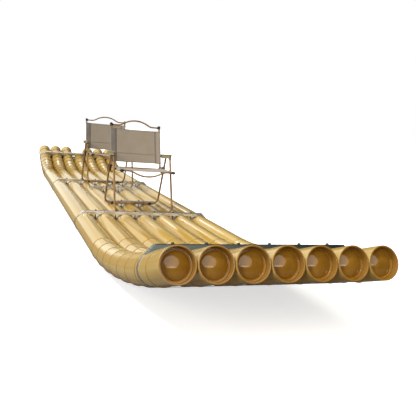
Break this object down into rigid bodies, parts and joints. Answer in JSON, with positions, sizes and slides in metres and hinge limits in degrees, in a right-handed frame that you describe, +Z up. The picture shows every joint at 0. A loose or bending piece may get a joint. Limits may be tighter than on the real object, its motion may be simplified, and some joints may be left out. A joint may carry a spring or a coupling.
{
  "type": "bamboo raft",
  "caption": "Sport raft of parallel bamboo-look plastic tubes, both ends bent up, bound by steel crossbars and straps, with folding armchairs set between the bars.",
  "frame": {"origin": "under the middle of the raft, on the surface it stands on", "axes": "+X along the tubes towards the bow, the way the chairs face; +Y to port; +Z up"},
  "size_m": [6.976, 1.146, 0.9283],
  "materials": {
    "bamboo_plastic": "glossy pale bamboo yellow with long grain streaks",
    "cap_plastic": "glossy brown-ochre",
    "bar_steel": "polished stainless",
    "strap_steel": "bright stainless",
    "stud_steel": "dull zinc and stainless",
    "saddle_steel": "polished stainless",
    "chair_tube": "brown wood-grain coating",
    "black_plastic": "moulded black",
    "armrest_wood": "khaki-stained, satin",
    "canvas": "taupe canvas with grey side sleeves"
  },
  "bodies": {
    "root": {"chair_aft_arm_brackets": "black_plastic", "chair_aft_armrests": "armrest_wood", "chair_aft_back_fabric": "canvas", "chair_aft_back_posts": "chair_tube", "chair_aft_back_rail": "chair_tube", "chair_aft_foot_clips": "black_plastic", "chair_aft_front_legs": "chair_tube", "chair_aft_front_rail": "chair_tube", "chair_aft_joints": "black_plastic", "chair_aft_leg_pivots": "black_plastic", "chair_aft_rear_legs": "chair_tube", "chair_aft_seat_fabric": "canvas", "chair_aft_seat_rails": "chair_tube", "chair_fore_arm_brackets": "black_plastic", "chair_fore_armrests": "armrest_wood", "chair_fore_back_fabric": "canvas", "chair_fore_back_posts": "chair_tube", "chair_fore_back_rail": "chair_tube", "chair_fore_foot_clips": "black_plastic", "chair_fore_front_legs": "chair_tube", "chair_fore_front_rail": "chair_tube", "chair_fore_joints": "black_plastic", "chair_fore_leg_pivots": "black_plastic", "chair_fore_rear_legs": "chair_tube", "chair_fore_seat_fabric": "canvas", "chair_fore_seat_rails": "chair_tube", "crossbar_aft": "bar_steel", "crossbar_bow": "bar_steel", "crossbar_fore": "bar_steel", "crossbar_stern": "bar_steel", "end_caps_bow": "cap_plastic", "end_caps_stern": "cap_plastic", "saddles_aft": "saddle_steel", "saddles_bow": "saddle_steel", "saddles_fore": "saddle_steel", "saddles_stern": "saddle_steel", "seat_bar_aft": "bar_steel", "seat_bar_fore": "bar_steel", "seat_saddles_aft": "saddle_steel", "seat_saddles_fore": "saddle_steel", "seat_studs_aft": "stud_steel", "seat_studs_fore": "stud_steel", "strap_aft": "strap_steel", "strap_bow": "strap_steel", "strap_fore": "strap_steel", "strap_stern": "strap_steel", "studs_aft": "stud_steel", "studs_bow": "stud_steel", "studs_fore": "stud_steel", "studs_stern": "stud_steel", "tube_1": "bamboo_plastic", "tube_2": "bamboo_plastic", "tube_3": "bamboo_plastic", "tube_4": "bamboo_plastic", "tube_5": "bamboo_plastic", "tube_6": "bamboo_plastic", "tube_7": "bamboo_plastic"}
  },
  "joints": []
}
